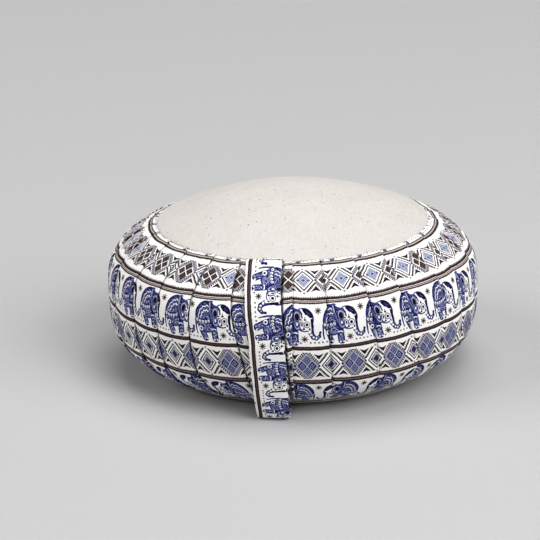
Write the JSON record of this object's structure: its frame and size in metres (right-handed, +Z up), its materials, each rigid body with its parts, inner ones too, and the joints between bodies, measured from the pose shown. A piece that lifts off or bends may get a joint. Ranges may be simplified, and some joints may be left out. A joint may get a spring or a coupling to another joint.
{
  "type": "zafu meditation cushion",
  "caption": "Round floor cushion with a domed canvas top, a bulging knife-pleated side in banded print and a flat carry handle sewn down one side.",
  "frame": {"origin": "middle of the flat face that lies on the floor", "axes": "+Z up through the crown, -Y towards the carry handle, +X to the right as one faces the handle"},
  "size_m": [0.3453, 0.3504, 0.1669],
  "materials": {
    "printed_cotton": "plain-woven cotton, off-white with bands printed in navy blue and dark brown",
    "natural_canvas": "unbleached canvas with small dark flecks"
  },
  "bodies": {
    "root": {"side_panel": "printed_cotton", "top_panel": "natural_canvas", "bottom_panel": "natural_canvas", "carry_handle": "printed_cotton"}
  },
  "joints": []
}
